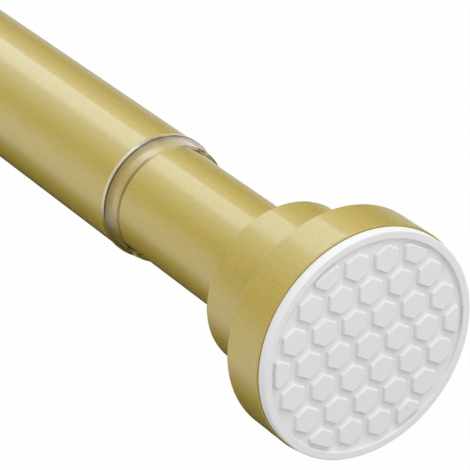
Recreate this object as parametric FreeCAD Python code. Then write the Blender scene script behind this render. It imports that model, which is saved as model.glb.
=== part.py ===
import FreeCAD, Part
import math
import os

V = FreeCAD.Vector

# Spring tension rod, millimetres, +Z up.
# The rod lies along X: the outer tube's wall pad has its face at X = 0, and the inner tube's
# pad faces +X at the other end. Radii run from the X axis, depths from a pad's face inwards.

# Tubes
outer_tube_radius = 14.0
tube_wall = 0.6
tube_gap = 0.9              # radial gap between the two tubes
outer_tube_length = 327.0
exposed_length = 42.1       # inner tube that shows between the end ring and the cap at rest

# End caps, the same outside on both tubes
pad_proud = 2.15            # pad that stands out of the flange
flange_length = 10.5
collar_length = 17.7
collar_wall = 4.3           # collar outside the outer tube
flange_step = 6.7           # flange outside the collar
flange_wall = 2.4
cap_wall = 1.5              # moulded wall around the cored pockets
pad_socket_depth = 1.5
screw_pocket_depth = 3.0
screw_boss_wall = 2.4
web_thickness = 3.0
rib_count = 8
rib_thickness = 1.2
edge_round = 0.35

# Wall pads with raised hexagons
pad_inset = 0.35            # pad inside the flange's edge
pad_edge_round = 0.3
pad_rim_width = 1.69
pad_recess_depth = 0.7
rim_draft = 0.15
rim_groove = 0.6            # between the rim and the cut-off hexagons
hex_pitch = 7.055
hex_base_flats = 5.7
hex_draft = 0.3
pad_fit = 0.1

# Clear end ring in the mouth of the outer tube
ring_clearance = 0.5        # radial, round the inner tube
ring_sleeve_length = 12.0
ring_lip = 0.2
ring_lip_length = 1.4
ring_nose_length = 4.5
ring_nose_wall = 0.45

# Spring cartridge in the far end of the outer tube
housing_back = 7.35
housing_wall = 1.45
bush_length = 12.0
spring_length = 40.0        # as fitted
spring_wire = 1.8
spring_turns = 8            # in all
closed_turns = 1            # at each end
coil_gap = 0.15             # between closed coils
chords_per_turn = 20        # straight chords that draw a turn of wire
wire_sides = 8              # flats that draw the wire's round section
spring_gap = 1.0            # between the coils and the housing
spring_travel = 22.0
plunger_head_length = 4.0
plunger_end_gap = 1.0

# Lead screw and drive nut
screw_radius = 5.0
screw_shoulder = 1.0
screw_tail_length = 29.5
shank_flat_wall = 1.0
shank_round_wall = 1.5
turn_in = 15.0              # travel of the nut from rest, inwards
turn_out = 185.0            # travel of the nut from rest, outwards
nut_gap = 2.0
nut_collar_length = 6.0
nut_plug_length = 16.0
nut_lip_length = 1.3
guide_groove_depth = 1.7
guide_split = 2.0
stop_gap = 0.5
washer_radius = 9.0
washer_thickness = 1.5
clip_radius = 7.0
clip_thickness = 1.0
clip_groove_depth = 0.8
screw_tip_length = 3.0
cap_plug_length = 20.0

# Pins and screws
pin_radius = 1.2
pin_inset = 3.0             # depth of a pin in its bush or nut
cap_screw_radius = 2.0
cap_screw_length = 10.0
cap_screw_head_radius = 4.2
cap_screw_head_height = 2.4
screw_head_gap = 0.4

# Clearances, all radial or along the rod
tight = 0.05                # pressed and fixed pieces
socket_fit = 0.1
slide_fit = 0.2
head_clearance = 0.3
thread_clearance = 0.15

# Radii that follow
outer_bore = outer_tube_radius - tube_wall
inner_tube_radius = outer_bore - tube_gap
inner_bore = inner_tube_radius - tube_wall
collar_radius = outer_tube_radius + collar_wall
flange_radius = collar_radius + flange_step
flange_bore = flange_radius - flange_wall
pad_radius = flange_radius - pad_inset
rim_radius = pad_radius - pad_rim_width
rim_floor_radius = rim_radius - rim_draft
ring_bore = inner_tube_radius + ring_clearance
housing_radius = outer_bore - tight
housing_bore = housing_radius - housing_wall
screw_tail_radius = screw_radius - screw_shoulder
tail_bore = screw_tail_radius + tight
shank_flat = tail_bore + shank_flat_wall
shank_radius = shank_flat + shank_round_wall
screw_hole = cap_screw_radius + tight
screw_pocket = cap_screw_head_radius + screw_head_gap
screw_boss = screw_pocket + screw_boss_wall

# Depths from a pad's face that follow
pad_seat = pad_proud + pad_socket_depth
screw_seat = pad_seat + screw_pocket_depth
tube_seat = screw_seat + web_thickness
flange_back = pad_proud + flange_length
cap_back = flange_back + collar_length

# Places along the rod that follow
spring_seat = tube_seat + housing_back
spring_end = spring_seat + spring_length
bush_start = spring_end + plunger_head_length
bush_end = bush_start + bush_length
shank_end = bush_end + spring_travel + plunger_end_gap
nut_start = shank_end + turn_in + nut_gap
inner_tube_start = nut_start + nut_collar_length
nut_end = inner_tube_start + nut_plug_length
washer_start = nut_end + turn_out + stop_gap
clip_start = washer_start + washer_thickness + tight
screw_end = clip_start + clip_thickness + screw_tip_length
outer_tube_end = tube_seat + outer_tube_length
ring_front = outer_tube_end + ring_lip_length + ring_nose_length
rod_length = ring_front + exposed_length + cap_back
inner_tube_end = rod_length - tube_seat


def turned(outline):
    """Solid of revolution about X from (x, radius) corners."""
    corners = [V(x, radius, 0) for x, radius in outline]
    face = Part.Face(Part.makePolygon(corners + corners[:1]))
    return face.revolve(V(0, 0, 0), V(1, 0, 0), 360).Solids[0]


def pipe(outer, inner, start, end):
    return turned([(start, inner), (start, outer), (end, outer), (end, inner)])


def rod(radius, start, end):
    return Part.makeCylinder(radius, end - start, V(start, 0, 0), V(1, 0, 0))


def rounded(solid, radius, places):
    """Round the circular edges at the given (x, radius) places."""
    edges = [
        edge
        for edge in solid.Edges
        for x, r in places
        if isinstance(edge.Curve, Part.Circle)
        and abs(edge.Curve.Radius - r) < 1e-6
        and abs(edge.Curve.Center.x - x) < 1e-6
    ]
    return solid.makeFillet(radius, edges)


def at_inner_end(shape):
    """Turn a piece made for the outer tube's end round to the inner tube's end."""
    turned_round = shape.copy()
    turned_round.rotate(V(0, 0, 0), V(0, 0, 1), 180)
    turned_round.translate(V(rod_length, 0, 0))
    return turned_round


def rib(outline, angle):
    """Flat radial rib with the given (x, radius) outline."""
    corners = [V(x, radius, -rib_thickness / 2) for x, radius in outline]
    plate = Part.Face(Part.makePolygon(corners + corners[:1])).extrude(V(0, 0, rib_thickness))
    plate.rotate(V(0, 0, 0), V(1, 0, 0), angle)
    return plate


def end_cap(tube_radius):
    """Stepped moulding, cored from the pad's side and stiffened by radial ribs."""
    socket = tube_radius + socket_fit
    socket_wall = socket + cap_wall
    collar_bore = collar_radius - cap_wall
    pocket_end = cap_back - cap_wall
    flange_pocket_end = flange_back - cap_wall
    body = turned([
        (screw_seat, screw_hole),
        (screw_seat, screw_pocket),
        (pad_seat, screw_pocket),
        (pad_seat, screw_boss),
        (screw_seat, screw_boss),
        (screw_seat, socket),
        (pad_seat, socket),
        (pad_seat, socket_wall),
        (pocket_end, socket_wall),
        (pocket_end, collar_bore),
        (flange_pocket_end, collar_bore),
        (flange_pocket_end, flange_bore),
        (pad_proud, flange_bore),
        (pad_proud, flange_radius),
        (flange_back, flange_radius),
        (flange_back, collar_radius),
        (cap_back, collar_radius),
        (cap_back, socket),
        (tube_seat, socket),
        (tube_seat, screw_hole),
    ])
    body = rounded(body, edge_round, [
        (pad_proud, flange_radius),
        (flange_back, flange_radius),
        (cap_back, collar_radius),
    ])
    root = cap_wall / 2
    outer_rib = [
        (pad_seat, socket_wall - root),
        (pocket_end + root, socket_wall - root),
        (pocket_end + root, collar_bore + root),
        (flange_pocket_end + root, collar_bore + root),
        (flange_pocket_end + root, flange_bore + root),
        (pad_seat, flange_bore + root),
    ]
    hub_rib = [
        (pad_seat, screw_boss - root),
        (screw_seat + root, screw_boss - root),
        (screw_seat + root, socket + root),
        (pad_seat, socket + root),
    ]
    ribs = []
    for index in range(rib_count):
        angle = 360 * (index + 0.5) / rib_count
        ribs.append(rib(outer_rib, angle))
        ribs.append(rib(hub_rib, angle))
    return body.multiFuse(ribs).removeSplitter().Solids[0]


def hexagon(x, y, z, across_flats):
    """Hexagon facing along X, with two flats upright and a corner at the top."""
    reach = across_flats / math.sqrt(3)
    corners = []
    for index in range(6):
        angle = math.radians(30 + 60 * index)
        corners.append(V(x, y + reach * math.cos(angle), z + reach * math.sin(angle)))
    return Part.makePolygon(corners + corners[:1])


def wall_pad():
    """Soft round pad with a raised rim and a field of hexagons, plugged into its cap."""
    plug = flange_bore - pad_fit
    base = turned([
        (pad_recess_depth, 0),
        (pad_recess_depth, rim_floor_radius),
        (0, rim_radius),
        (0, pad_radius),
        (pad_proud, pad_radius),
        (pad_proud, plug),
        (pad_seat, plug),
        (pad_seat, 0),
    ])
    base = rounded(base, pad_edge_round, [(0, pad_radius)])
    field_radius = rim_floor_radius - rim_groove
    field = Part.makeCone(
        field_radius - hex_draft, field_radius, pad_recess_depth, V(0, 0, 0), V(1, 0, 0)
    )
    studs = []
    row_pitch = hex_pitch * math.sqrt(3) / 2
    reach = math.ceil(field_radius / row_pitch)
    for row in range(-reach, reach + 1):
        for place in range(-2 * reach, 2 * reach + 1):
            y = hex_pitch * (place + row / 2)
            z = row_pitch * row
            if math.hypot(y, z) > field_radius:
                continue
            stud = Part.makeLoft([
                hexagon(pad_recess_depth, y, z, hex_base_flats),
                hexagon(0, y, z, hex_base_flats - 2 * hex_draft),
            ], True, True)
            studs.append(stud.common(field) if math.hypot(y, z) + hex_pitch > field_radius else stud)
    return base.multiFuse(studs).removeSplitter().Solids[0]


def cap_screw():
    """Pan-head screw through the web of a cap."""
    head_top = screw_seat - cap_screw_head_height
    screw = turned([
        (head_top, 0),
        (head_top, cap_screw_head_radius),
        (screw_seat, cap_screw_head_radius),
        (screw_seat, cap_screw_radius),
        (screw_seat + cap_screw_length, cap_screw_radius),
        (screw_seat + cap_screw_length, 0),
    ])
    return rounded(screw, cap_screw_head_height / 2, [(head_top, cap_screw_head_radius)])


def end_ring():
    """Clear plastic ring: a thin sleeve in the tube's mouth, a lip and a tapered nose."""
    sleeve = outer_bore - tight
    nose_base = outer_tube_end + ring_lip_length
    return turned([
        (outer_tube_end - ring_sleeve_length, ring_bore),
        (outer_tube_end - ring_sleeve_length, sleeve),
        (outer_tube_end, sleeve),
        (outer_tube_end, outer_tube_radius + ring_lip),
        (nose_base, outer_tube_radius + ring_lip),
        (nose_base, outer_tube_radius),
        (ring_front, ring_bore + ring_nose_wall),
        (ring_front, ring_bore),
    ])


def radial_pins(x, bottom, top, radius):
    """Two pins across the rod, one above and one below the axis."""
    return [
        Part.makeCylinder(radius, top - bottom, V(x, 0, side * bottom), V(0, 0, side))
        for side in (1, -1)
    ]


def double_d(radius, flat, start, end):
    """Round bar with two flats, facing up and down."""
    block = Part.makeBox(end - start, 2 * radius, 2 * flat, V(start, -radius, -flat))
    return rod(radius, start, end).common(block)


def coil_spring():
    """Round-wire compression spring with closed coils at both ends, ground flat."""
    mean_radius = housing_bore - spring_gap - spring_wire / 2
    ground = spring_wire / 4
    closed_pitch = spring_wire + coil_gap
    open_turns = spring_turns - 2 * closed_turns
    centre_travel = spring_length - 2 * ground
    open_pitch = (centre_travel - 2 * closed_turns * closed_pitch) / open_turns
    points = []
    for step in range(spring_turns * chords_per_turn + 1):
        turn = step / chords_per_turn
        open_part = min(max(turn - closed_turns, 0), open_turns)
        along = closed_pitch * (turn - open_part) + open_pitch * open_part
        angle = 2 * math.pi * turn
        points.append(V(
            spring_seat + ground + along,
            mean_radius * math.cos(angle),
            mean_radius * math.sin(angle),
        ))
    section = Part.makeCircle(spring_wire / 2, points[0], points[1] - points[0])
    corners = section.discretize(wire_sides + 1)
    section = Part.makePolygon(corners[:-1] + corners[:1])
    mitred = 1
    coil = Part.makePolygon(points).makePipeShell([section], True, False, mitred)
    return coil.common(rod(housing_bore, spring_seat, spring_end)).Solids[0]


parts = {}

# Outer tube and what is fixed to it
parts["outer_tube"] = pipe(outer_tube_radius, outer_bore, tube_seat, outer_tube_end)
parts["outer_end_cap"] = end_cap(outer_tube_radius)
parts["outer_pad"] = wall_pad()
parts["outer_cap_screw"] = cap_screw()
parts["tube_end_ring"] = end_ring()

bush_pin_place = (bush_start + bush_end) / 2
bush_radius = housing_bore - tight
bush_pin_foot = bush_radius - pin_inset
housing = turned([
    (tube_seat, screw_hole),
    (tube_seat, housing_radius),
    (bush_end, housing_radius),
    (bush_end, housing_bore),
    (spring_seat, housing_bore),
    (spring_seat, screw_hole),
])
bush = rod(bush_radius, bush_start, bush_end).cut(
    double_d(shank_radius + slide_fit, shank_flat + slide_fit, bush_start, bush_end)
)
for hole in radial_pins(bush_pin_place, bush_pin_foot - tight, outer_bore, pin_radius + tight):
    housing = housing.cut(hole)
    bush = bush.cut(hole)
parts["spring_housing"] = housing
parts["housing_bush"] = bush
parts["bush_pins"] = Part.makeCompound(
    radial_pins(bush_pin_place, bush_pin_foot, housing_radius - tight, pin_radius)
)
parts["compression_spring"] = coil_spring()

# Plunger that the spring pushes, with the lead screw pinned into it
tail_start = shank_end - screw_tail_length
plunger = rod(housing_bore - head_clearance, spring_end, bush_start).fuse(
    double_d(shank_radius, shank_flat, bush_start, shank_end)
)
plunger = plunger.cut(rod(tail_bore, tail_start - tight, shank_end)).removeSplitter()
screw_pin_place = shank_end - screw_tail_length / 4
pin_hole = Part.makeCylinder(
    pin_radius + tight, 2 * shank_radius, V(screw_pin_place, 0, -shank_radius)
)
lead_screw = rod(screw_tail_radius, tail_start, shank_end).fuse(
    rod(screw_radius, shank_end, screw_end)
)
clip_groove = pipe(
    screw_radius + tight,
    screw_radius - clip_groove_depth,
    clip_start - tight,
    clip_start + clip_thickness + tight,
)
parts["plunger"] = plunger.cut(pin_hole)
parts["lead_screw"] = lead_screw.cut(clip_groove).cut(pin_hole).removeSplitter()
parts["screw_pin"] = Part.makeCylinder(
    pin_radius, 2 * shank_flat, V(screw_pin_place, 0, -shank_flat)
)
parts["stop_washer"] = pipe(
    washer_radius, screw_radius + tight, washer_start, washer_start + washer_thickness
)
clip_bore = screw_radius - clip_groove_depth + tight
clip = pipe(clip_radius, clip_bore, clip_start, clip_start + clip_thickness)
clip_mouth = Part.makeBox(
    clip_thickness, 2 * clip_bore, clip_radius, V(clip_start, -clip_bore, 0)
)
parts["stop_clip"] = clip.cut(clip_mouth)

# Guide ring that rides in the nut's groove and centres the inner tube
groove_radius = inner_tube_radius - guide_groove_depth
groove_start = nut_start + nut_lip_length
groove_end = inner_tube_start - nut_lip_length
guide = pipe(
    outer_bore - slide_fit,
    groove_radius + slide_fit,
    groove_start + slide_fit,
    groove_end - slide_fit,
)
guide_mouth = Part.makeBox(
    groove_end - groove_start, guide_split, outer_bore, V(groove_start, -guide_split / 2, 0)
)
parts["guide_ring"] = guide.cut(guide_mouth)

# Inner tube and what is fixed to it
nut_pin_place = (inner_tube_start + nut_end) / 2
nut_radius = inner_bore - tight
nut_pin_foot = nut_radius - pin_inset
nut_bore = screw_radius + thread_clearance
nut = turned([
    (nut_start, nut_bore),
    (nut_start, inner_tube_radius),
    (groove_start, inner_tube_radius),
    (groove_start, groove_radius),
    (groove_end, groove_radius),
    (groove_end, inner_tube_radius),
    (inner_tube_start, inner_tube_radius),
    (inner_tube_start, nut_radius),
    (nut_end, nut_radius),
    (nut_end, nut_bore),
])
inner_tube = pipe(inner_tube_radius, inner_bore, inner_tube_start, inner_tube_end)
for hole in radial_pins(nut_pin_place, nut_pin_foot - tight, outer_bore, pin_radius + tight):
    nut = nut.cut(hole)
    inner_tube = inner_tube.cut(hole)
parts["drive_nut"] = nut
parts["inner_tube"] = inner_tube
parts["nut_pins"] = Part.makeCompound(
    radial_pins(nut_pin_place, nut_pin_foot, inner_tube_radius - tight, pin_radius)
)
plug_hole_depth = cap_screw_length - web_thickness + tight
cap_plug = rod(inner_bore - tight, tube_seat, tube_seat + cap_plug_length)
parts["inner_cap_plug"] = at_inner_end(
    cap_plug.cut(rod(screw_hole, tube_seat, tube_seat + plug_hole_depth))
)
parts["inner_cap_screw"] = at_inner_end(cap_screw())
parts["inner_end_cap"] = at_inner_end(end_cap(inner_tube_radius))
parts["inner_pad"] = at_inner_end(wall_pad())

os.makedirs("parts", exist_ok=True)
for name, shape in parts.items():
    shape.exportStep(f"parts/{name}.step")
    print(name, len(shape.Solids), shape.isValid(), round(shape.Volume, 2))
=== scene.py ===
import math

import bmesh
import bpy
from mathutils import Matrix, Vector


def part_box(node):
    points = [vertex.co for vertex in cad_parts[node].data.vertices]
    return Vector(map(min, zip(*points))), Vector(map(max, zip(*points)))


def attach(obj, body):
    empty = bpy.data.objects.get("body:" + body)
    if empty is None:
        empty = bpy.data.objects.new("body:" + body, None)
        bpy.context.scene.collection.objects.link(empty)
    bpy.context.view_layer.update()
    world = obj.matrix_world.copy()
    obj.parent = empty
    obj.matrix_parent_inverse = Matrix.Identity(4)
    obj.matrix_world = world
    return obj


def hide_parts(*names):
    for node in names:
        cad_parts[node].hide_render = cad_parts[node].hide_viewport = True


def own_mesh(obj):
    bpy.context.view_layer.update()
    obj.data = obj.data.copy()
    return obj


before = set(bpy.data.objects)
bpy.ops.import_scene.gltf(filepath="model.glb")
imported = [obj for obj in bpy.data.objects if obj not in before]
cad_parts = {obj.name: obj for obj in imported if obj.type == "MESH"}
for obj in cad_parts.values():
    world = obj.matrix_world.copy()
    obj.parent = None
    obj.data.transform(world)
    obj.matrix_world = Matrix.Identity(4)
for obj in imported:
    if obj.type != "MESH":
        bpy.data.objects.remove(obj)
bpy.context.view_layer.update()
mm = 0.001
sharpEdge = 35   # degrees, past which an edge shades sharp
print("frame loaded,", len(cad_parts), "nodes")


# small helpers

def hexColour(text, alpha=1.0):
    # sRGB hex to the linear colour that sockets take
    parts = [int(text[i:i + 2], 16) / 255 for i in (1, 3, 5)]
    linear = [c / 12.92 if c <= 0.04045 else ((c + 0.055) / 1.055) ** 2.4 for c in parts]
    return (*linear, alpha)


def addNode(tree, kind, inputs=None, **settings):
    # inputs are values, sockets, or nodes, whose first output in use is linked
    node = tree.nodes.new(kind)
    for key, value in settings.items():
        setattr(node, key, value)
    for key, value in (inputs or {}).items():
        if isinstance(value, bpy.types.Node):
            value = next(socket for socket in value.outputs if socket.enabled)
        if isinstance(value, bpy.types.NodeSocket):
            tree.links.new(value, node.inputs[key])
        else:
            node.inputs[key].default_value = value
    return node


def newMaterial(name):
    material = bpy.data.materials.new(name)
    material.use_nodes = True
    material.node_tree.nodes.clear()
    return material, material.node_tree


def setStops(ramp, stops):
    # stops are (position, linear colour)
    elements = ramp.color_ramp.elements
    while len(elements) < len(stops):
        elements.new(1.0)
    for element, (position, colour) in zip(elements, stops):
        element.position = position
        element.color = colour


def perMetre(sizeMm):
    # texture scale that makes one feature this many millimetres wide
    return 1.0 / (sizeMm * mm)


def linkObject(name, mesh, material=None):
    piece = bpy.data.objects.new(name, mesh)
    bpy.context.scene.collection.objects.link(piece)
    if material:
        mesh.materials.clear()
        mesh.materials.append(material)
    return piece


def hideFrom(piece, *rays):
    for ray in rays:
        setattr(piece, "visible_" + ray, False)


def plainMesh(carrier):
    # the carrier's mesh with its modifiers applied, the carrier itself goes
    bpy.context.view_layer.update()
    shown = carrier.evaluated_get(bpy.context.evaluated_depsgraph_get())
    mesh = bpy.data.meshes.new_from_object(shown)
    bpy.data.objects.remove(carrier)
    return mesh


def roundedOutline(corners, steps=5, hold=0.03):
    # corners are (x, radius) or (x, radius, round) in mm, round corners become arcs; a point just
    # beside each arc keeps the shading of the straight stretch straight
    points = []
    count = len(corners)
    for index, corner in enumerate(corners):
        here = Vector(corner[:2])
        size = corner[2] if len(corner) > 2 else 0
        if not size:
            points.append(here)
            continue
        back = (Vector(corners[index - 1][:2]) - here).normalized()
        ahead = (Vector(corners[(index + 1) % count][:2]) - here).normalized()
        half = back.angle(ahead) / 2
        reach = size / math.tan(half)
        centre = here + (back + ahead).normalized() * size / math.sin(half)
        start = here + back * reach - centre
        sweep = start.angle_signed(here + ahead * reach - centre)
        points.append(here + back * (reach + hold))
        for step in range(steps + 1):
            points.append(centre + Matrix.Rotation(-sweep * step / steps, 2) @ start)
        points.append(here + ahead * (reach + hold))
    return points


def lathe(name, corners, segments):
    # closed outline in mm, turned about the X axis
    mesh = bpy.data.meshes.new(name)
    bm = bmesh.new()
    rings = []
    for x, radius in roundedOutline(corners):
        if radius < 1e-6:
            rings.append([bm.verts.new((x * mm, 0, 0))])
            continue
        ring = []
        for step in range(segments):
            angle = 2 * math.pi * step / segments
            ring.append(bm.verts.new((x * mm, radius * mm * math.cos(angle),
                                      radius * mm * math.sin(angle))))
        rings.append(ring)
    for index, ring in enumerate(rings):
        other = rings[(index + 1) % len(rings)]
        if len(ring) == 1 and len(other) == 1:
            continue
        for step in range(segments):
            after = (step + 1) % segments
            around = [ring[step % len(ring)], ring[after % len(ring)],
                      other[after % len(other)], other[step % len(other)]]
            face = list(dict.fromkeys(around))   # a triangle at a pole
            bm.faces.new(face).smooth = True
    bmesh.ops.recalc_face_normals(bm, faces=bm.faces)
    bm.to_mesh(mesh)
    bm.free()
    mesh.set_sharp_from_angle(angle=math.radians(sharpEdge))
    return mesh


def groupWithInputs(name, counts, sizes):
    # a geometry node group with named whole numbers and lengths, and what its input node gives
    tree = bpy.data.node_groups.new(name, "GeometryNodeTree")
    kinds = {"Geometry": "NodeSocketGeometry"}
    kinds.update({label: "NodeSocketInt" for label in counts})
    kinds.update({label: "NodeSocketFloat" for label in sizes})
    for label, kind in kinds.items():
        tree.interface.new_socket(label, in_out="INPUT", socket_type=kind)
    tree.interface.new_socket("Geometry", in_out="OUTPUT", socket_type="NodeSocketGeometry")
    return tree, addNode(tree, "NodeGroupInput").outputs


def finishGroup(tree, shape, material):
    # each group ends in real, painted geometry
    solid = addNode(tree, "GeometryNodeRealizeInstances", {"Geometry": shape})
    painted = addNode(tree, "GeometryNodeSetMaterial", {"Geometry": solid, "Material": material})
    addNode(tree, "NodeGroupOutput", {"Geometry": painted})
    return tree


def bakeGroup(name, tree, inputs):
    # run the group and keep the result as a plain mesh
    carrier = linkObject(name + "Carrier", bpy.data.meshes.new(name + "Seed"))
    modifier = carrier.modifiers.new("nodes", "NODES")
    modifier.node_group = tree
    for item in tree.interface.items_tree:
        if item.in_out == "INPUT" and item.name in inputs:
            modifier[item.identifier] = inputs[item.name]
    result = plainMesh(carrier)
    result.name = name
    return result


def aroundAxis(tree, along, turns, radius):
    # nodes that give the place so far along the rod, so many turns round it and so far out
    angle = addNode(tree, "ShaderNodeMath", {0: turns, 1: 2 * math.pi}, operation="MULTIPLY")
    cosine = addNode(tree, "ShaderNodeMath", {0: angle}, operation="COSINE")
    sine = addNode(tree, "ShaderNodeMath", {0: angle}, operation="SINE")
    y = addNode(tree, "ShaderNodeMath", {0: cosine, 1: radius}, operation="MULTIPLY")
    z = addNode(tree, "ShaderNodeMath", {0: sine, 1: radius}, operation="MULTIPLY")
    return addNode(tree, "ShaderNodeCombineXYZ", {"X": along, "Y": y, "Z": z})


def joinMeshes(name, meshes):
    bm = bmesh.new()
    for mesh in meshes:
        bm.from_mesh(mesh)
    for face in bm.faces:
        face.material_index = 0
    joined = bpy.data.meshes.new(name)
    bm.to_mesh(joined)
    bm.free()
    return joined


def smoothShade(mesh, sharp):
    for face in mesh.polygons:
        face.use_smooth = True
    mesh.set_sharp_from_angle(angle=math.radians(sharp))
    return mesh


def settle(piece, body, slot, *nodes):
    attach(piece, body)
    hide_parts(*nodes)


# materials; in a Mix node, sockets 6 and 7 are the two colours, 2 and 3 the two numbers

def makeGoldLacquer(name, dark, pale, drifted, flakeMm, baseRough):
    # gold lacquer: pigment and fine metal flake under clear coat, so the body colour stays warm and even
    # while the coat mirrors the lights; flakes are drawn coarser than their 0.03 mm to show, and ambient
    # occlusion paints shade into seams, darkening the lacquer there
    material, tree = newMaterial(name)
    place = addNode(tree, "ShaderNodeTexCoord").outputs["Object"]
    flakes = addNode(tree, "ShaderNodeTexVoronoi", {"Vector": place, "Scale": perMetre(flakeMm)})
    cloud = addNode(tree, "ShaderNodeTexNoise", {"Vector": place, "Scale": perMetre(9.0), "Detail": 2.0})
    tint = addNode(tree, "ShaderNodeValToRGB", {"Fac": flakes.outputs["Color"]})
    setStops(tint, [(0, hexColour(dark)), (1, hexColour(pale))])
    drift = addNode(tree, "ShaderNodeMix", {"Factor": cloud, 6: tint, 7: hexColour(drifted)},
                    data_type="RGBA")
    # painted shade: ambient occlusion darkens the colour towards #40361a in seams and corners
    seamShade = addNode(tree, "ShaderNodeAmbientOcclusion", {"Distance": 0.45 * mm}, samples=8)
    shadedSkin = addNode(tree, "ShaderNodeMix", {
        "Factor": seamShade.outputs["AO"], 6: hexColour("#40361a"), 7: drift}, data_type="RGBA")
    rough = addNode(tree, "ShaderNodeMapRange", {
        "Value": flakes, "From Max": 0.7, "To Min": baseRough - 0.05, "To Max": baseRough + 0.05})
    bump = addNode(tree, "ShaderNodeBump", {"Height": flakes, "Strength": 0.05, "Distance": 0.02 * mm})
    shader = addNode(tree, "ShaderNodeBsdfPrincipled", {
        "Base Color": shadedSkin, "Metallic": 0.05, "Roughness": rough, "Specular IOR Level": 0.0, "Normal": bump,
        "Coat Weight": 1.0, "Coat Roughness": 0.08, "Coat IOR": 1.5})
    addNode(tree, "ShaderNodeOutputMaterial", {"Surface": shader})
    return material


def makePadRubber():
    # white thermoplastic rubber, matt moulded skin with a faint spark-eroded grain, and painted shade
    # greying its grooves
    material, tree = newMaterial("whitePadRubber")
    place = addNode(tree, "ShaderNodeTexCoord").outputs["Object"]
    grain = addNode(tree, "ShaderNodeTexNoise", {"Vector": place, "Scale": perMetre(0.4), "Detail": 3.0})
    patch = addNode(tree, "ShaderNodeTexNoise", {"Vector": place, "Scale": perMetre(14.0), "Detail": 1.0})
    tint = addNode(tree, "ShaderNodeValToRGB", {"Fac": patch})
    setStops(tint, [(0, hexColour("#e5e5e5")), (1, hexColour("#e9e9e9"))])
    # painted shade: ambient occlusion greys the colour towards #d3d3d3 in grooves and hollows
    grooveShade = addNode(tree, "ShaderNodeAmbientOcclusion", {"Distance": 1.5 * mm}, samples=8)
    shadedSkin = addNode(tree, "ShaderNodeMix", {
        "Factor": grooveShade.outputs["AO"], 6: hexColour("#d3d3d3"), 7: tint}, data_type="RGBA")
    rough = addNode(tree, "ShaderNodeMapRange", {"Value": grain, "To Min": 0.5, "To Max": 0.62})
    bump = addNode(tree, "ShaderNodeBump", {"Height": grain, "Strength": 0.08, "Distance": 0.03 * mm})
    shader = addNode(tree, "ShaderNodeBsdfPrincipled", {
        "Base Color": shadedSkin, "Roughness": rough, "Normal": bump, "IOR": 1.48, "Specular IOR Level": 0.2})
    addNode(tree, "ShaderNodeOutputMaterial", {"Surface": shader})
    return material


def makeMetal(name, dark, pale, grainMm, stretch, roughLow, roughHigh):
    # plated or drawn steel with fine lines along the rod
    material, tree = newMaterial(name)
    place = addNode(tree, "ShaderNodeTexCoord").outputs["Object"]
    along = addNode(tree, "ShaderNodeMapping", {"Vector": place, "Scale": (stretch, 1.0, 1.0)})
    grain = addNode(tree, "ShaderNodeTexNoise", {
        "Vector": along, "Scale": perMetre(grainMm), "Detail": 4.0})
    tint = addNode(tree, "ShaderNodeValToRGB", {"Fac": grain})
    setStops(tint, [(0, hexColour(dark)), (1, hexColour(pale))])
    rough = addNode(tree, "ShaderNodeMapRange", {"Value": grain, "To Min": roughLow, "To Max": roughHigh})
    shader = addNode(tree, "ShaderNodeBsdfPrincipled", {
        "Base Color": tint, "Metallic": 1.0, "Roughness": rough})
    addNode(tree, "ShaderNodeOutputMaterial", {"Surface": shader})
    return material


def makePlastic(name, dark, pale, grainMm, rough):
    # moulded or turned engineering plastic, matt with a fine grain
    material, tree = newMaterial(name)
    place = addNode(tree, "ShaderNodeTexCoord").outputs["Object"]
    grain = addNode(tree, "ShaderNodeTexNoise", {
        "Vector": place, "Scale": perMetre(grainMm), "Detail": 3.0})
    tint = addNode(tree, "ShaderNodeValToRGB", {"Fac": grain})
    setStops(tint, [(0, hexColour(dark)), (1, hexColour(pale))])
    bump = addNode(tree, "ShaderNodeBump", {"Height": grain, "Strength": 0.1, "Distance": 0.05 * mm})
    shader = addNode(tree, "ShaderNodeBsdfPrincipled", {
        "Base Color": tint, "Roughness": rough, "Normal": bump})
    addNode(tree, "ShaderNodeOutputMaterial", {"Surface": shader})
    return material


goldTube = makeGoldLacquer("goldLacquerOnSteel", "#a7912c", "#bba64a", "#b19b3a", 0.35, 0.55)
goldCap = makeGoldLacquer("goldLacquerOnMoulding", "#a6902b", "#baa548", "#b09a39", 0.4, 0.58)
padRubber = makePadRubber()
zincSteel = makeMetal("zincPlatedSteel", "#b9bcc0", "#d6d8da", 0.5, 0.2, 0.25, 0.4)
springSteel = makeMetal("drawnSpringSteel", "#7b7c7f", "#a2a3a5", 0.4, 1.0, 0.3, 0.45)
blackNylon = makePlastic("blackNylon", "#161617", "#1f1f20", 0.6, 0.5)
whiteAcetal = makePlastic("naturalAcetal", "#dcdad2", "#e6e4dd", 0.5, 0.4)
print("materials made")


# places that the frame gives, and the two tubes' radii, in mm

def span(node):
    low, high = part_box(node)
    return low.x / mm, high.x / mm


outerStart, outerEnd = span("outer_tube")
innerStart, innerEnd = span("inner_tube")
ringStart, ringFront = span("tube_end_ring")
rodLength = span("inner_pad")[1]
tubeRadius = {"outer_tube": 14.0, "inner_tube": 12.5}


# tubes
tube = {"wall": 0.6, "edge": 0.12, "pinHole": 1.25, "holeSides": 32, "segments": 192}


def makeTube(name, node, start, end):
    radius = tubeRadius[node]
    edge = tube["edge"]
    bore = radius - tube["wall"]
    outline = [(start, bore, edge), (start, radius, edge), (end, radius, edge), (end, bore, edge)]
    return lathe(name, outline, tube["segments"])


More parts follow.
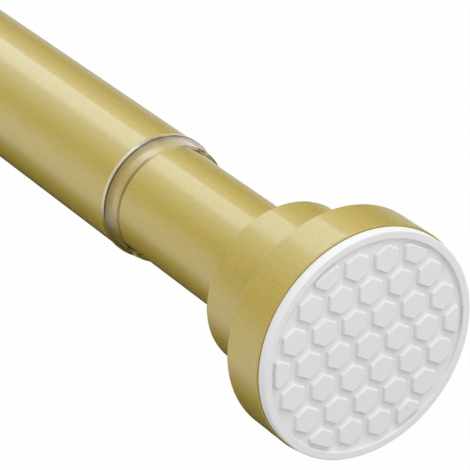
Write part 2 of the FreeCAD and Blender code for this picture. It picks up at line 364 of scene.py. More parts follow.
def crossDrill(mesh, x, radius, reach):
    # one hole right across the rod, up and down
    drillMesh = bpy.data.meshes.new("drill")
    bm = bmesh.new()
    bmesh.ops.create_cone(bm, cap_ends=True, segments=tube["holeSides"], radius1=radius * mm,
                          radius2=radius * mm, depth=2 * reach * mm)
    bm.to_mesh(drillMesh)
    bm.free()
    drillMesh.transform(Matrix.Translation((x * mm, 0, 0)))
    drill = linkObject("drill", drillMesh)
    blank = linkObject("blank", mesh)
    cut = blank.modifiers.new("cut", "BOOLEAN")
    cut.object = drill
    cut.solver = "EXACT"
    drilled = plainMesh(blank)
    bpy.data.objects.remove(drill)
    drilled.set_sharp_from_angle(angle=math.radians(sharpEdge))
    return drilled


outerTube = linkObject("outerTube", makeTube("outerTube", "outer_tube", outerStart, outerEnd), goldTube)
settle(outerTube, "outer", "gold_tube", "outer_tube")
innerMesh = makeTube("innerTube", "inner_tube", innerStart, innerEnd)
innerMesh = crossDrill(innerMesh, sum(span("nut_pins")) / 2, tube["pinHole"], 2 * tubeRadius["inner_tube"])
innerTube = linkObject("innerTube", innerMesh, goldTube)
settle(innerTube, "inner", "gold_tube", "inner_tube")
print("tubes turned")


# end caps: depths run from the pad's face
cap = {
    "padProud": 2.15, "padSeat": 3.65, "screwSeat": 6.65, "tubeSeat": 9.65,
    "flangeBack": 12.65, "capBack": 30.35, "flangeRadius": 25.0, "collarRadius": 18.3,
    "flangeBore": 22.6, "wall": 1.5, "socketFit": 0.1, "screwHole": 2.05, "screwPocket": 4.6,
    "screwBoss": 7.0, "edge": 0.35, "softEdge": 0.2, "ribs": 8, "ribThickness": 1.2, "segments": 192,
}


def capOutline(tubeR):
    c = cap
    socket = tubeR + c["socketFit"]
    socketWall = socket + c["wall"]
    collarBore = c["collarRadius"] - c["wall"]
    pocketEnd = c["capBack"] - c["wall"]
    flangePocketEnd = c["flangeBack"] - c["wall"]
    return [
        (c["screwSeat"], c["screwHole"]), (c["screwSeat"], c["screwPocket"]),
        (c["padSeat"], c["screwPocket"]), (c["padSeat"], c["screwBoss"]),
        (c["screwSeat"], c["screwBoss"]), (c["screwSeat"], socket),
        (c["padSeat"], socket), (c["padSeat"], socketWall),
        (pocketEnd, socketWall), (pocketEnd, collarBore),
        (flangePocketEnd, collarBore), (flangePocketEnd, c["flangeBore"]),
        (c["padProud"], c["flangeBore"], c["softEdge"]), (c["padProud"], c["flangeRadius"], c["edge"]),
        (c["flangeBack"], c["flangeRadius"], c["edge"]),
        (c["flangeBack"], c["collarRadius"], c["softEdge"]),
        (c["capBack"], c["collarRadius"], c["edge"]), (c["capBack"], socket, c["softEdge"]),
        (c["tubeSeat"], socket), (c["tubeSeat"], c["screwHole"]),
    ]


def turnToInnerEnd(mesh):
    # half a turn about Z, then out to the far face
    mesh.transform(Matrix.Translation((rodLength * mm, 0, 0)) @ Matrix.Rotation(math.pi, 4, "Z"))
    return mesh


def makeRibTree():
    # flat ribs set round the axis in the cap's cored pockets
    tree, give = groupWithInputs("capRibs", ["Ribs"], ["Thickness", "Start", "Length", "Inner", "Outer"])
    height = addNode(tree, "ShaderNodeMath", {0: give["Outer"], 1: give["Inner"]}, operation="SUBTRACT")
    size = addNode(tree, "ShaderNodeCombineXYZ", {"X": give["Length"], "Y": height, "Z": give["Thickness"]})
    plate = addNode(tree, "GeometryNodeMeshCube", {"Size": size})
    middleX = addNode(tree, "ShaderNodeMath", {0: give["Length"], 1: 0.5, 2: give["Start"]},
                      operation="MULTIPLY_ADD")
    middleY = addNode(tree, "ShaderNodeMath", {0: height, 1: 0.5, 2: give["Inner"]},
                      operation="MULTIPLY_ADD")
    offset = addNode(tree, "ShaderNodeCombineXYZ", {"X": middleX, "Y": middleY})
    moved = addNode(tree, "GeometryNodeTransform", {"Geometry": plate, "Translation": offset})
    points = addNode(tree, "GeometryNodePoints", {"Count": give["Ribs"]})
    index = addNode(tree, "GeometryNodeInputIndex")
    middle = addNode(tree, "ShaderNodeMath", {0: index, 1: 0.5}, operation="ADD")
    share = addNode(tree, "ShaderNodeMath", {0: middle, 1: give["Ribs"]}, operation="DIVIDE")
    angle = addNode(tree, "ShaderNodeMath", {0: share, 1: 2 * math.pi}, operation="MULTIPLY")
    turn = addNode(tree, "ShaderNodeCombineXYZ", {"X": angle})
    spread = addNode(tree, "GeometryNodeInstanceOnPoints", {"Points": points, "Instance": moved,
                                                            "Rotation": turn})
    return finishGroup(tree, spread, goldCap)


ribTree = makeRibTree()


def makeCap(name, tubeR):
    c = cap
    socket = tubeR + c["socketFit"]
    root = c["wall"] / 2   # how deep a rib stands in the walls
    bands = [
        (c["padSeat"], c["flangeBack"] - root, socket + c["wall"] - root, c["flangeBore"] + root),
        (c["flangeBack"] - c["wall"], c["capBack"] - root, socket + c["wall"] - root,
         c["collarRadius"] - root),
        (c["padSeat"], c["screwSeat"] + root, c["screwBoss"] - root, socket + root),
    ]
    meshes = [lathe(name, capOutline(tubeR), c["segments"])]
    for start, end, inner, outer in bands:
        meshes.append(bakeGroup(name + "Ribs", ribTree, {
            "Ribs": c["ribs"], "Thickness": c["ribThickness"] * mm, "Start": start * mm,
            "Length": (end - start) * mm, "Inner": inner * mm, "Outer": outer * mm}))
    return joinMeshes(name, meshes)


outerCap = linkObject("outerEndCap", makeCap("outerEndCap", tubeRadius["outer_tube"]), goldCap)
settle(outerCap, "outer", "gold_cap", "outer_end_cap")
innerCapMesh = turnToInnerEnd(makeCap("innerEndCap", tubeRadius["inner_tube"]))
innerCap = linkObject("innerEndCap", innerCapMesh, goldCap)
settle(innerCap, "inner", "gold_cap", "inner_end_cap")
print("end caps turned and ribbed")


# wall pads with raised hexagons
pad = {
    "radius": 24.65, "edge": 0.3, "backEdge": 0.15, "rim": 22.96, "rimFloor": 22.81, "recess": 0.7,
    "rimSoft": 0.15, "floorSoft": 0.1, "plug": 22.5, "field": 22.21, "fieldSides": 128, "draft": 0.3,
    "pitch": 7.055, "flats": 5.7, "sink": 0.3, "rows": 9, "softTop": 0.22, "softSteps": 3, "segments": 192,
}


def makeStudTree():
    # hexagon frustums on a close-packed lattice, cut off by the round field
    tree, give = groupWithInputs("hexagonField", ["Rows", "FieldSides"], [
        "Pitch", "Base", "Top", "Height", "FieldBase", "FieldTip", "FieldHeight"])
    rowPitch = addNode(tree, "ShaderNodeMath", {0: give["Pitch"], 1: math.sqrt(3) / 2},
                       operation="MULTIPLY")
    gaps = addNode(tree, "ShaderNodeMath", {0: give["Rows"], 1: 1.0}, operation="SUBTRACT")
    width = addNode(tree, "ShaderNodeMath", {0: gaps, 1: give["Pitch"]}, operation="MULTIPLY")
    depth = addNode(tree, "ShaderNodeMath", {0: gaps, 1: rowPitch}, operation="MULTIPLY")
    grid = addNode(tree, "GeometryNodeMeshGrid", {
        "Size X": width, "Size Y": depth, "Vertices X": give["Rows"], "Vertices Y": give["Rows"]})
    place = addNode(tree, "GeometryNodeInputPosition")
    split = addNode(tree, "ShaderNodeSeparateXYZ", {"Vector": place})
    # every other row moves on by half a pitch
    row = addNode(tree, "ShaderNodeMath", {0: split.outputs["Y"], 1: rowPitch}, operation="DIVIDE")
    whole = addNode(tree, "ShaderNodeMath", {0: row}, operation="ROUND")
    odd = addNode(tree, "ShaderNodeMath", {0: whole, 1: 2.0}, operation="FLOORED_MODULO")
    halfPitch = addNode(tree, "ShaderNodeMath", {0: give["Pitch"], 1: 0.5}, operation="MULTIPLY")
    shift = addNode(tree, "ShaderNodeMath", {0: odd, 1: halfPitch}, operation="MULTIPLY")
    offset = addNode(tree, "ShaderNodeCombineXYZ", {"X": shift})
    lattice = addNode(tree, "GeometryNodeSetPosition", {"Geometry": grid, "Offset": offset})
    reach = addNode(tree, "ShaderNodeVectorMath", {0: place}, operation="LENGTH")
    outside = addNode(tree, "FunctionNodeCompare", {"A": reach, "B": give["FieldBase"]},
                      data_type="FLOAT", operation="GREATER_THAN")
    kept = addNode(tree, "GeometryNodeDeleteGeometry", {"Geometry": lattice, "Selection": outside})
    stud = addNode(tree, "GeometryNodeMeshCone", {
        "Vertices": 6, "Radius Top": give["Top"], "Radius Bottom": give["Base"], "Depth": give["Height"]})
    # corners up and down, flats upright
    turned = addNode(tree, "GeometryNodeTransform", {"Geometry": stud, "Rotation": (0.0, 0.0, math.pi / 6)})
    spread = addNode(tree, "GeometryNodeInstanceOnPoints", {"Points": kept, "Instance": turned})
    studs = addNode(tree, "GeometryNodeRealizeInstances", {"Geometry": spread})
    field = addNode(tree, "GeometryNodeMeshCone", {
        "Vertices": give["FieldSides"], "Radius Top": give["FieldTip"], "Radius Bottom": give["FieldBase"],
        "Depth": give["FieldHeight"]})
    # the field's cone starts below the studs and ends above them
    low = addNode(tree, "ShaderNodeMath", {0: give["Height"], 1: give["FieldHeight"]}, operation="SUBTRACT")
    halfLow = addNode(tree, "ShaderNodeMath", {0: low, 1: 0.5}, operation="MULTIPLY")
    sunk = addNode(tree, "ShaderNodeCombineXYZ", {"Z": halfLow})
    lowered = addNode(tree, "GeometryNodeTransform", {"Geometry": field, "Translation": sunk})
    trimmed = addNode(tree, "GeometryNodeMeshBoolean", operation="INTERSECT", solver="EXACT")
    tree.links.new(studs.outputs["Geometry"], trimmed.inputs["Mesh 2"])
    tree.links.new(lowered.outputs["Geometry"], trimmed.inputs["Mesh 2"])
    return finishGroup(tree, trimmed, padRubber)


studTree = makeStudTree()


def softened(mesh):
    # round the upper edges a little, as a moulding has them
    carrier = linkObject("softCarrier", mesh)
    bevel = carrier.modifiers.new("bevel", "BEVEL")
    bevel.width = pad["softTop"] * mm
    bevel.segments = pad["softSteps"]
    bevel.limit_method = "ANGLE"
    bevel.angle_limit = math.radians(sharpEdge)
    result = plainMesh(carrier)
    # flat tops stay flat, their rounded edges run smooth
    squareOn = 0.99
    for face in result.polygons:
        face.use_smooth = abs(face.normal.x) < squareOn
    return result


def makePad(name):
    p = pad
    height = p["recess"] + p["sink"]
    fieldHeight = height + 2 * p["sink"]
    slope = p["draft"] / p["recess"]
    corner = 2 / math.sqrt(3)   # from half across flats to a corner
    baseFlats = p["flats"] / 2 + slope * p["sink"]
    topFlats = p["flats"] / 2 - p["draft"]
    studs = bakeGroup(name + "Studs", studTree, {
        "Pitch": p["pitch"] * mm, "Base": baseFlats * corner * mm, "Top": topFlats * corner * mm,
        "Height": height * mm, "FieldHeight": fieldHeight * mm, "FieldSides": p["fieldSides"],
        "FieldBase": (p["field"] + 2 * slope * p["sink"]) * mm,
        "FieldTip": (p["field"] - p["draft"] - slope * p["sink"]) * mm, "Rows": p["rows"]})
    # lattice X to the rod's Y, tops to the pad's face at X = 0
    facing = Matrix(((0, 0, -1, height * mm), (-1, 0, 0, 0), (0, 1, 0, 0), (0, 0, 0, 1)))
    studs.transform(facing)
    seat = cap["padSeat"]
    proud = cap["padProud"]
    base = lathe(name, [
        (p["recess"], 0), (p["recess"], p["rimFloor"], p["floorSoft"]), (0, p["rim"], p["rimSoft"]),
        (0, p["radius"], p["edge"]), (proud, p["radius"], p["backEdge"]), (proud, p["plug"]),
        (seat, p["plug"]), (seat, 0)], p["segments"])
    return joinMeshes(name, [base, softened(studs)])


outerPad = linkObject("outerWallPad", makePad("outerWallPad"), padRubber)
settle(outerPad, "outer", "pad_rubber", "outer_pad")
innerPad = linkObject("innerWallPad", turnToInnerEnd(makePad("innerWallPad")), padRubber)
settle(innerPad, "inner", "pad_rubber", "inner_pad")
print("wall pads studded")


# clear end ring
ring = {
    "bore": 13.0, "sleeve": 13.35, "sleeveEdge": 0.1, "lip": 14.2, "lipRound": 0.45, "lipFront": 0.15,
    "lipLength": 1.4, "neck": 14.0, "noseWall": 0.45, "noseEdge": 0.2, "boreEdge": 0.15, "segments": 192,
    # tint and clearness of its parts; the lip's milky tint and the pale veil are painted light, the shade
    # and edge lines and the darker underside painted shade
    "clear": ("#eeead9", 0.97), "paintedLipLight": ("#f1e8bc", 0.52), "shade": ("#8d7c50", 0.93),
    "edge": ("#927e4f", 0.93), "paintedVeil": ("#f4efe0", 0.3), "undersideShade": ("#ae994b", 0.7),
    "crest": (0.0, -0.087, 0.996),   # direction, 5 degrees from straight up
}


def makeRing():
    r = ring
    neckAt = outerEnd + r["lipLength"]
    return lathe("tubeEndRing", [
        (ringStart, r["bore"], r["sleeveEdge"]), (ringStart, r["sleeve"], r["sleeveEdge"]),
        (outerEnd, r["sleeve"]), (outerEnd, r["lip"], r["lipRound"]), (neckAt, r["lip"], r["lipFront"]),
        (neckAt, r["neck"]), (ringFront, r["bore"] + r["noseWall"], r["noseEdge"]),
        (ringFront, r["bore"], r["boreEdge"])], r["segments"])


def makeClearPlastic():
    # clear moulded polycarbonate: thin walls show the tube behind them; the lip is tinted milky and pale as
    # painted light, and painted shade draws a dark line along the step and the front edge; the index is
    # drawn low for a thin wall, and the coat's index high, because one coat stands for the gloss of both
    # sides
    r = ring
    lipStart = outerEnd
    lipEnd = outerEnd + r["lipLength"]
    clearTint, clearShare = r["clear"]
    paintedLipLightShare = r["paintedLipLight"][1]
    material, tree = newMaterial("clearPolycarbonate")
    place = addNode(tree, "ShaderNodeTexCoord").outputs["Object"]
    wave = addNode(tree, "ShaderNodeTexNoise", {"Vector": place, "Scale": perMetre(6.0), "Detail": 1.0})
    rough = addNode(tree, "ShaderNodeMapRange", {"Value": wave, "To Min": 0.03, "To Max": 0.08})
    split = addNode(tree, "ShaderNodeSeparateXYZ", {"Vector": place})
    along = addNode(tree, "ShaderNodeMapRange", {
        "Value": split.outputs["X"], "From Min": ringStart * mm, "From Max": ringFront * mm})
    # tint and clearness along the rod, from sleeve to front edge, places in mm; the lip's stops are painted
    # light, the shade and edge stops painted shade lines
    zones = addNode(tree, "ShaderNodeValToRGB", {"Fac": along})
    setStops(zones, [((x - ringStart) / (ringFront - ringStart), hexColour(*r[part])) for x, part in (
        (lipStart - 0.1, "clear"), (lipStart, "paintedLipLight"), (lipEnd - 0.2, "paintedLipLight"), (lipEnd - 0.05, "shade"),
        (lipEnd + 0.1, "shade"), (lipEnd + 0.28, "clear"), (ringFront - 0.75, "clear"),
        (ringFront - 0.4, "edge"))])
    # the bore stays clear, and painted light makes the zones show most on the upper side, as if lit from
    # above
    fromAxis = addNode(tree, "ShaderNodeVectorMath", {0: place, 1: (0.0, 1.0, 1.0)}, operation="MULTIPLY")
    reach = addNode(tree, "ShaderNodeVectorMath", {0: fromAxis}, operation="LENGTH")
    upright = addNode(tree, "ShaderNodeMath", {0: split.outputs["Z"], 1: reach}, operation="DIVIDE")
    # painted reflection: they are faint at the crest, standing in for the lip mirroring a gap between the
    # lights
    crest = addNode(tree, "ShaderNodeVectorMath", {0: place, 1: r["crest"]}, operation="DOT_PRODUCT")
    nearCrest = addNode(tree, "ShaderNodeMath", {0: crest, 1: reach}, operation="DIVIDE")
    crestReflectionShade = addNode(tree, "ShaderNodeMapRange", {
        "Value": nearCrest, "From Min": 0.93, "From Max": 1.0, "To Min": 1.0, "To Max": 0.1})
    paintedTopLight = addNode(tree, "ShaderNodeMapRange", {
        "Value": upright, "From Min": -0.25, "From Max": 0.15, "To Min": 0.25, "To Max": crestReflectionShade})
    outer = addNode(tree, "ShaderNodeMapRange", {
        "Value": reach, "From Min": (r["bore"] + 0.05) * mm, "From Max": (r["bore"] + 0.3) * mm,
        "To Max": paintedTopLight})
    tint = addNode(tree, "ShaderNodeMix", {"Factor": outer, 6: hexColour(clearTint), 7: zones},
                   data_type="RGBA")
    clearness = addNode(tree, "ShaderNodeMix", {"Factor": outer, 2: clearShare, 3: zones.outputs["Alpha"]},
                        data_type="FLOAT")
    # gloss, fullest on the lip, and on the outer side of each wall alone, so light isn't caught inside
    lipGloss = addNode(tree, "ShaderNodeMapRange", {
        "Value": clearness, "From Min": clearShare, "From Max": paintedLipLightShare, "To Min": 0.3, "To Max": 0.7})
    side = addNode(tree, "ShaderNodeNewGeometry")
    gloss = addNode(tree, "ShaderNodeMapRange", {
        "Value": side.outputs["Backfacing"], "To Min": lipGloss, "To Max": 0.0})
    # painted light: a pale veil near the upper outline, standing in for light from above running round in
    # the wall
    mostPaintedVeil = addNode(tree, "ShaderNodeMapRange", {
        "Value": upright, "From Min": 0.0, "From Max": 0.4, "To Min": 0.05, "To Max": 0.63})
    glance = addNode(tree, "ShaderNodeLayerWeight", {"Blend": 0.5})
    paintedVeil = addNode(tree, "ShaderNodeMapRange", {
        "Value": glance.outputs["Facing"], "From Min": 0.47, "From Max": 0.73, "To Max": mostPaintedVeil})
    # painted shade: the underside is tinted a darker, duller gold, where less light falls
    undersideShade = addNode(tree, "ShaderNodeMapRange", {"Value": upright, "From Min": 0.05, "From Max": -0.22})
    for share, part in ((paintedVeil, "paintedVeil"), (undersideShade, "undersideShade")):
        partTint, partShare = r[part]
        tint = addNode(tree, "ShaderNodeMix", {"Factor": share, 6: tint, 7: hexColour(partTint)},
                       data_type="RGBA")
        clearness = addNode(tree, "ShaderNodeMix", {"Factor": share, 2: clearness, 3: partShare},
                            data_type="FLOAT")
    shader = addNode(tree, "ShaderNodeBsdfPrincipled", {
        "Base Color": tint, "Roughness": rough, "IOR": 1.03, "Transmission Weight": clearness,
        "Coat Weight": gloss, "Coat Roughness": 0.04, "Coat IOR": 1.9})
    addNode(tree, "ShaderNodeOutputMaterial", {"Surface": shader})
    return material


endRing = linkObject("tubeEndRing", makeRing(), makeClearPlastic())
settle(endRing, "outer", "clear_ring", "tube_end_ring")
# thin and clear, it takes no light from the tube under it
hideFrom(endRing, "diffuse", "glossy", "shadow")
print("end ring turned")


# compression spring
spring = {"coilRadius": 10.0, "wire": 1.8, "turns": 8, "closedPitch": 1.95, "ground": 0.45, "perTurn": 48,
          "wireSides": 16, "pressed": 0.45, "sharp": 50}


def makeSpringTree():
    # round wire on a helix, close-wound at both ends and ground flat there
    tree, give = groupWithInputs("coiledWire", ["Turns", "PerTurn", "WireSides"], [
        "Radius", "Wire", "Start", "End", "ClosedPitch", "OpenPitch", "Ground"])
    steps = addNode(tree, "ShaderNodeMath", {0: give["Turns"], 1: give["PerTurn"]}, operation="MULTIPLY")
    count = addNode(tree, "ShaderNodeMath", {0: steps, 1: 1.0}, operation="ADD")
    line = addNode(tree, "GeometryNodeMeshLine", {"Count": count})
    index = addNode(tree, "GeometryNodeInputIndex")
    turn = addNode(tree, "ShaderNodeMath", {0: index, 1: give["PerTurn"]}, operation="DIVIDE")
    # one closed turn at each end, open turns between
    openTurns = addNode(tree, "ShaderNodeMath", {0: give["Turns"], 1: 2.0}, operation="SUBTRACT")
    pastEnd = addNode(tree, "ShaderNodeMath", {0: turn, 1: 1.0}, operation="SUBTRACT")
    openPart = addNode(tree, "ShaderNodeClamp", {"Value": pastEnd, "Min": 0.0, "Max": openTurns})
    closedPart = addNode(tree, "ShaderNodeMath", {0: turn, 1: openPart}, operation="SUBTRACT")
    base = addNode(tree, "ShaderNodeMath", {0: give["Start"], 1: give["Ground"]}, operation="ADD")
    closedLength = addNode(tree, "ShaderNodeMath", {0: closedPart, 1: give["ClosedPitch"], 2: base},
                           operation="MULTIPLY_ADD")
    along = addNode(tree, "ShaderNodeMath", {0: openPart, 1: give["OpenPitch"], 2: closedLength},
                    operation="MULTIPLY_ADD")
    helix = addNode(tree, "GeometryNodeSetPosition", {
        "Geometry": line, "Position": aroundAxis(tree, along, turn, give["Radius"])})
    path = addNode(tree, "GeometryNodeMeshToCurve", {"Mesh": helix})
    section = addNode(tree, "GeometryNodeCurvePrimitiveCircle", {"Resolution": give["WireSides"],
                                                                 "Radius": give["Wire"]})
    wire = addNode(tree, "GeometryNodeCurveToMesh", {"Curve": path, "Profile Curve": section,
                                                     "Fill Caps": True})
    # grinding: nothing stands past either end
    place = addNode(tree, "GeometryNodeInputPosition")
    split = addNode(tree, "ShaderNodeSeparateXYZ", {"Vector": place})
    level = addNode(tree, "ShaderNodeClamp", {"Value": split.outputs["X"], "Min": give["Start"],
                                              "Max": give["End"]})
    flat = addNode(tree, "ShaderNodeCombineXYZ", {"X": level, "Y": split.outputs["Y"],
                                                  "Z": split.outputs["Z"]})
    ground = addNode(tree, "GeometryNodeSetPosition", {"Geometry": wire, "Position": flat})
    return finishGroup(tree, ground, springSteel)


def makeSpring():
    s = spring
    start, end = span("compression_spring")
    openTurns = s["turns"] - 2
    openPitch = (end - start - 2 * s["ground"] - 2 * s["closedPitch"]) / openTurns
    mesh = bakeGroup("compressionSpring", makeSpringTree(), {
        "Turns": s["turns"], "PerTurn": s["perTurn"], "Radius": s["coilRadius"] * mm,
        "Wire": s["wire"] / 2 * mm, "WireSides": s["wireSides"], "Start": start * mm, "End": end * mm,
        "ClosedPitch": s["closedPitch"] * mm, "OpenPitch": openPitch * mm, "Ground": s["ground"] * mm})
    piece = linkObject("compressionSpring", smoothShade(mesh, s["sharp"]), springSteel)
    settle(piece, "outer", "spring_steel", "compression_spring")
    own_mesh(piece)


makeSpring()
print("spring wound")


# lead screw with a two-start thread
leadScrew = {
    "radius": 5.0, "tail": 4.0, "tailEdge": 0.3, "tipEdge": 0.5, "depth": 0.8, "lead": 10.0, "starts": 2,
    "crestShare": 0.16, "rootShare": 0.32, "runOut": 4.0, "grooveRadius": 4.2, "grooveFit": 0.05,
    "pinHole": 1.25, "around": 48, "perTurn": 24, "weld": 0.02, "sharp": 40,
}


def makeThreadTree():
    # sheet wrapped round the axis, its radius dipping along the helix
    tree, give = groupWithInputs("twoStartThread", ["Around", "Along", "Starts"], [
        "Start", "Length", "Radius", "Depth", "Lead", "CrestShare", "RootShare", "RunOut", "Weld"])
    grid = addNode(tree, "GeometryNodeMeshGrid", {"Size X": 1.0, "Size Y": 1.0, "Vertices X": give["Along"],
                                                  "Vertices Y": give["Around"]})
    place = addNode(tree, "GeometryNodeInputPosition")
    split = addNode(tree, "ShaderNodeSeparateXYZ", {"Vector": place})
    share = addNode(tree, "ShaderNodeMath", {0: split.outputs["X"], 1: 0.5}, operation="ADD")
    travel = addNode(tree, "ShaderNodeMath", {0: share, 1: give["Length"]}, operation="MULTIPLY")
    along = addNode(tree, "ShaderNodeMath", {0: travel, 1: give["Start"]}, operation="ADD")
    turn = addNode(tree, "ShaderNodeMath", {0: split.outputs["Y"], 1: 0.5}, operation="ADD")
    advance = addNode(tree, "ShaderNodeMath", {0: travel, 1: give["Lead"]}, operation="DIVIDE")
    ahead = addNode(tree, "ShaderNodeMath", {0: advance, 1: turn}, operation="SUBTRACT")
    phase = addNode(tree, "ShaderNodeMath", {0: ahead, 1: give["Starts"]}, operation="MULTIPLY")
    wave = addNode(tree, "ShaderNodeMath", {0: phase, 1: 0.5}, operation="PINGPONG")
    flank = addNode(tree, "ShaderNodeMapRange", {"Value": wave, "From Min": give["CrestShare"],
                                                 "From Max": give["RootShare"]})
    # both ends of the thread fade out into the plain bar
    toEnd = addNode(tree, "ShaderNodeMath", {0: give["Length"], 1: travel}, operation="SUBTRACT")
    nearer = addNode(tree, "ShaderNodeMath", {0: toEnd, 1: travel}, operation="MINIMUM")
    fade = addNode(tree, "ShaderNodeMapRange", {"Value": nearer, "From Max": give["RunOut"],
                                                "To Max": give["Depth"]})
    dip = addNode(tree, "ShaderNodeMath", {0: flank, 1: fade}, operation="MULTIPLY")
    radius = addNode(tree, "ShaderNodeMath", {0: give["Radius"], 1: dip}, operation="SUBTRACT")
    wrapped = addNode(tree, "GeometryNodeSetPosition", {
        "Geometry": grid, "Position": aroundAxis(tree, along, turn, radius)})
    closed = addNode(tree, "GeometryNodeMergeByDistance", {"Geometry": wrapped, "Distance": give["Weld"]})
    return finishGroup(tree, closed, zincSteel)


def makeLeadScrew():
    s = leadScrew
    fit = s["grooveFit"]
    start, end = span("lead_screw")
    threadStart = span("plunger")[1]
    threadEnd = span("stop_washer")[0]
    clipStart, clipEnd = span("stop_clip")
    ends = [
        (start, 0), (start, s["tail"], s["tailEdge"]), (threadStart, s["tail"]), (threadStart, s["radius"]),
        (threadEnd, s["radius"]), (clipStart - fit, s["radius"]), (clipStart - fit, s["grooveRadius"]),
        (clipEnd + fit, s["grooveRadius"]), (clipEnd + fit, s["radius"]), (end, s["radius"], s["tipEdge"]),
        (end, 0),
    ]
    bar = lathe("leadScrewBar", ends, s["around"])
    bar = crossDrill(bar, sum(span("screw_pin")) / 2, s["pinHole"], 2 * s["radius"])
    # the plain bar gives way to the threaded sheet between the plunger and the stop
    bm = bmesh.new()
    bm.from_mesh(bar)
    low, high = threadStart * mm, threadEnd * mm
    plain = [face for face in bm.faces if low + fit * mm < face.calc_center_median().x < high - fit * mm]
    bmesh.ops.delete(bm, geom=plain, context="FACES")
    bm.to_mesh(bar)
    bm.free()
    along = round((threadEnd - threadStart) / s["lead"] * s["perTurn"]) + 1
    thread = bakeGroup("leadScrewThread", makeThreadTree(), {
        "Around": s["around"] + 1, "Along": along, "Start": low, "Length": high - low,
        "Radius": s["radius"] * mm, "Depth": s["depth"] * mm, "Lead": s["lead"] * mm, "Starts": s["starts"],
        "CrestShare": s["crestShare"], "RootShare": s["rootShare"], "RunOut": s["runOut"] * mm,
        "Weld": s["weld"] / 2 * mm})
    whole = joinMeshes("leadScrew", [bar, thread])
    bm = bmesh.new()
    bm.from_mesh(whole)
    bmesh.ops.remove_doubles(bm, verts=bm.verts, dist=s["weld"] * mm)
    bmesh.ops.recalc_face_normals(bm, faces=bm.faces)
    bm.to_mesh(whole)
    bm.free()
    piece = linkObject("leadScrew", smoothShade(whole, s["sharp"]), zincSteel)
    settle(piece, "plunger", "zinc_steel", "lead_screw")


makeLeadScrew()
print("lead screw threaded")


# hidden pieces keep their solids and take a finish
finishes = {
    zincSteel: ["outer_cap_screw", "inner_cap_screw", "bush_pins", "nut_pins", "screw_pin", "stop_washer"],
    springSteel: ["stop_clip"],
    blackNylon: ["spring_housing", "plunger", "drive_nut", "inner_cap_plug"],
    whiteAcetal: ["housing_bush", "guide_ring"],
}
for material, nodes in finishes.items():
    for node in nodes:
        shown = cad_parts[node]
        shown.data.materials.clear()
        shown.data.materials.append(material)
print("hidden pieces finished")


# floor, light and camera
stage = {"floorDrop": 1.0, "floorSize": 12.0, "floorWhite": 0.95, "ambient": 0.83}
tent = {
    # arc of white cloth round the rod: degrees from straight up towards the camera's side, brightness
    "levels": [(-118, 0.56), (-92, 0.5), (-80, 0.33), (-68, 0.38), (-46, 0.88), (-28, 2.0), (-24, 4.2),
               (4, 4.75), (15, 2.85), (50, 1.1), (74, 0.9), (108, 1.9), (135, 1.5), (158, 0.3),
               (175, 0.04), (238, 0.02)],
    "coolWhite": "#e4f3ff", "neutral": "#ffffff", "coolAbove": 2.0,
    # places along the rod, and degrees that the side of the cloth is drawn up there
    "columns": [(-2.4, 11), (-0.5, 11), (-0.46, 0), (1.8, 0)],
    "drawnFrom": 50, "drawnOver": 24, "radius": 0.8, "steps": 80,
}
keyLamp = {"place": (0.9, 0.25, 1.1), "aim": (0.4, 0.0, 0.0), "size": (0.6, 0.6), "power": 5.3}
flag = {"drop": 0.15, "near": -0.12, "far": 0.18, "left": -0.6, "right": 0.55, "colour": "#101010"}
view = {
    "position": (373.18, -276.48, 269.80),   # mm from the photographed pad's face
    "azimuth": 56.70, "elevation": 27.861, "lens": 210.8, "sensor": 36.0, "aboutRod": 1.17,
    "clip": (0.01, 50.0),
}


def flatSheet(name, left, right, near, far, height):
    mesh = bpy.data.meshes.new(name)
    corners = [(left, near, height), (right, near, height), (right, far, height), (left, far, height)]
    mesh.from_pydata(corners, [], [(0, 1, 2, 3)])
    return mesh


def whiteToSight(tree):
    # one for the eye, for reflections and through clear pieces, nought for the rest
    path = addNode(tree, "ShaderNodeLightPath").outputs
    seen = addNode(tree, "ShaderNodeMath", {0: path["Is Camera Ray"], 1: path["Is Glossy Ray"]},
                   operation="MAXIMUM")
    return addNode(tree, "ShaderNodeMath", {0: seen, 1: path["Is Transmission Ray"]}, operation="MAXIMUM")


def makeTent():
    # a strip of cloth that only reflections see, bright above and at the side, dark below
    t = tent
    levels = t["levels"]
    first, last = levels[0][0], levels[-1][0]
    peak = max(level for angle, level in levels)
    mesh = bpy.data.meshes.new("lightTent")
    points = []
    faces = []
    width = len(t["columns"])
    for step in range(t["steps"] + 1):
        angle = first + (last - first) * step / t["steps"]
        share = min(max((angle - t["drawnFrom"]) / t["drawnOver"], 0), 1)
        for column, (x, drawn) in enumerate(t["columns"]):
            turn = math.radians(angle - drawn * share)
            points.append((x, -t["radius"] * math.sin(turn), t["radius"] * math.cos(turn)))
            if step and column:
                corner = step * width + column
                faces.append((corner - width - 1, corner - width, corner, corner - 1))
    mesh.from_pydata(points, [], faces)
    sweep = mesh.attributes.new("sweep", "FLOAT", "POINT")
    for index in range(len(points)):
        sweep.data[index].value = (index // width) / t["steps"]
    material, tree = newMaterial("tentCloth")
    along = addNode(tree, "ShaderNodeAttribute", attribute_name="sweep")
    ramp = addNode(tree, "ShaderNodeValToRGB", {"Fac": along.outputs["Fac"]})
    stops = []
    for angle, level in levels:
        tint = hexColour(t["coolWhite"] if level > t["coolAbove"] else t["neutral"])
        stops.append(((angle - first) / (last - first), [channel * level / peak for channel in tint]))
    setStops(ramp, stops)
    glow = addNode(tree, "ShaderNodeEmission", {"Color": ramp, "Strength": peak})
    addNode(tree, "ShaderNodeOutputMaterial", {"Surface": glow})
    cloth = linkObject("lightTent", mesh, material)
    hideFrom(cloth, "camera", "diffuse", "transmission", "shadow")


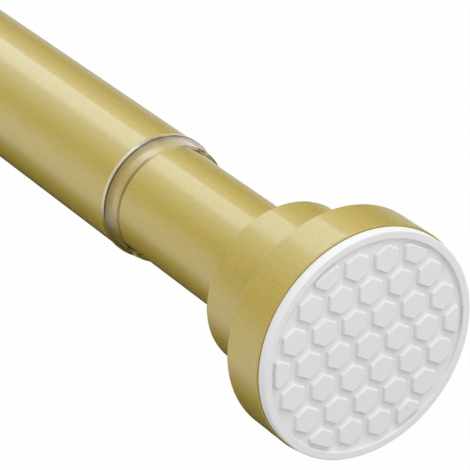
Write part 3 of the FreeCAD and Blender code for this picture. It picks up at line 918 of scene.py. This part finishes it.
def makeFlag():
    # black card under the rod, out of sight, that keeps floor light off the underside
    f = flag
    material, tree = newMaterial("blackFlagCloth")
    cloth = addNode(tree, "ShaderNodeBsdfDiffuse", {"Color": hexColour(f["colour"])})
    addNode(tree, "ShaderNodeOutputMaterial", {"Surface": cloth})
    mesh = flatSheet("blackFlag", f["left"], f["right"], f["near"], f["far"], -f["drop"])
    card = linkObject("blackFlag", mesh, material)
    hideFrom(card, "camera", "glossy", "transmission", "shadow")


def makeFloor():
    # pale paper, white to the eye
    material, tree = newMaterial("palePaperFloor")
    place = addNode(tree, "ShaderNodeTexCoord").outputs["Object"]
    fibre = addNode(tree, "ShaderNodeTexNoise", {"Vector": place, "Scale": perMetre(4.0)})
    tint = addNode(tree, "ShaderNodeValToRGB", {"Fac": fibre})
    setStops(tint, [(0, hexColour("#f6f6f6")), (1, hexColour("#fbfbfb"))])
    paper = addNode(tree, "ShaderNodeBsdfDiffuse", {"Color": tint})
    glow = addNode(tree, "ShaderNodeEmission", {"Strength": 1.0})
    # a little of the paper stays in sight, and keeps the rod's shadow
    share = addNode(tree, "ShaderNodeMath", {0: whiteToSight(tree), 1: stage["floorWhite"]},
                    operation="MULTIPLY")
    mixed = addNode(tree, "ShaderNodeMixShader", {0: share, 1: paper, 2: glow})
    addNode(tree, "ShaderNodeOutputMaterial", {"Surface": mixed})
    half = stage["floorSize"] / 2
    mesh = flatSheet("paleFloor", -half, half, -half, half, -stage["floorDrop"])
    linkObject("paleFloor", mesh, material)


def makeWorld():
    world = bpy.data.worlds.new("whiteStudio")
    bpy.context.scene.world = world
    world.use_nodes = True
    tree = world.node_tree
    tree.nodes.clear()
    white = (1.0, 1.0, 1.0, 1.0)
    soft = addNode(tree, "ShaderNodeBackground", {"Color": white, "Strength": stage["ambient"]})
    seen = addNode(tree, "ShaderNodeBackground", {"Color": white, "Strength": 1.0})
    mixed = addNode(tree, "ShaderNodeMixShader", {0: whiteToSight(tree), 1: soft, 2: seen})
    addNode(tree, "ShaderNodeOutputWorld", {"Surface": mixed})


def makeCamera():
    v = view
    camera = bpy.data.objects.new("photoCamera", bpy.data.cameras.new("photoCamera"))
    camera.data.lens = v["lens"]
    camera.data.sensor_width = v["sensor"]
    camera.data.clip_start, camera.data.clip_end = v["clip"]
    turn = math.radians(v["azimuth"])
    tilt = math.radians(v["elevation"])
    back = Vector((math.sin(turn) * math.cos(tilt), -math.cos(turn) * math.cos(tilt), math.sin(tilt)))
    right = Vector((math.cos(turn), math.sin(turn), 0))
    up = back.cross(right)
    place = Matrix((right, up, back)).transposed().to_4x4()
    place.translation = Vector(v["position"]) * mm
    about = Matrix.Rotation(math.radians(v["aboutRod"]), 4, "X")
    camera.matrix_world = Matrix.Translation((rodLength * mm, 0, 0)) @ about @ place
    bpy.context.scene.collection.objects.link(camera)
    bpy.context.scene.camera = camera


def makeLamp(name, lamp):
    data = bpy.data.lights.new(name, "AREA")
    data.shape = "RECTANGLE"
    data.size, data.size_y = lamp["size"]
    data.energy = lamp["power"]
    piece = bpy.data.objects.new(name, data)
    piece.location = lamp["place"]
    aim = Vector(lamp["aim"]) - Vector(lamp["place"])
    piece.rotation_euler = aim.to_track_quat("-Z", "Y").to_euler()
    hideFrom(piece, "glossy")   # reflections see the tent instead
    bpy.context.scene.collection.objects.link(piece)


makeFloor()
makeWorld()
makeTent()
makeFlag()
makeLamp("keyLamp", keyLamp)
makeCamera()
bpy.context.scene.view_settings.view_transform = "Standard"
print("studio set")
